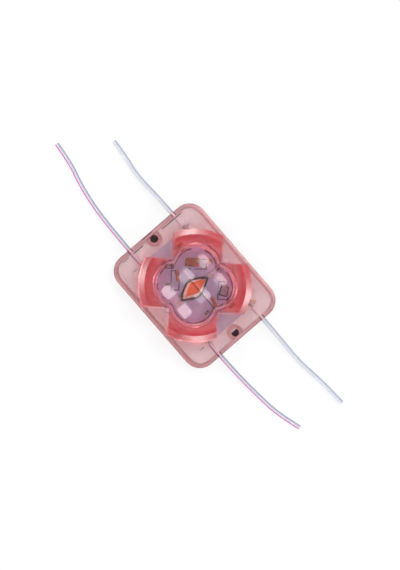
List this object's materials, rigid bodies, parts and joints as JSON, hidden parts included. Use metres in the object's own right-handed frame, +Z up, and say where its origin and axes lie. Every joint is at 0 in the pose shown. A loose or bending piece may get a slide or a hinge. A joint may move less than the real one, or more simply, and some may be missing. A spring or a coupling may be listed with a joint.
{
  "type": "flashing led module",
  "caption": "Flashing LED module: a pink see-through cover with a four-petal lens over a potted board, screw holes at both ends and a pair of leads out of each end.",
  "frame": {"origin": "middle of the foam pad's underside, below the middle of the lens", "axes": "+X along the body's long side and the leads, +Y across it towards the plain leads, +Z up out of the lens"},
  "size_m": [0.1678, 0.049, 0.016],
  "materials": {
    "pink_acrylic": "clear pink, polished",
    "black_foam": "fine closed-cell foam",
    "pale_resin": "smooth pale resin",
    "board_mask": "pale lavender board coating",
    "copper_land": "bare copper",
    "solder": "dull tinned metal",
    "tinned_copper": "tinned strands",
    "led_plastic": "white moulded package",
    "led_phosphor": "orange phosphor gel",
    "moulded_black": "moulded black package",
    "tantalum_brown": "brown moulded package",
    "ceramic_tan": "fired ceramic",
    "resistor_tan": "lacquered tan",
    "lead_striped": "white covering with a magenta stripe",
    "lead_plain": "white covering"
  },
  "bodies": {
    "root": {"lens_cover": "pink_acrylic", "foam_pad": "black_foam", "potting_fill": "pale_resin", "circuit_board": "board_mask", "test_pad": "copper_land", "solder_pads": "copper_land", "solder_joints": "solder", "lead_conductors": "tinned_copper", "led_rim": "moulded_black", "led_body": "led_plastic", "led_phosphor": "led_phosphor", "led_terminals": "solder", "flasher_chip": "moulded_black", "chip_legs": "solder", "tantalum_capacitor": "tantalum_brown", "tantalum_tabs": "solder", "protection_diode": "moulded_black", "diode_tabs": "solder", "rod_resistors": "resistor_tan", "rod_resistor_wires": "solder", "resistor_bodies": "moulded_black", "resistor_ends": "solder", "ceramic_bodies": "ceramic_tan", "ceramic_ends": "solder", "lead_in_striped": "lead_striped", "lead_out_striped": "lead_striped", "lead_in_plain": "lead_plain", "lead_out_plain": "lead_plain"}
  },
  "joints": []
}
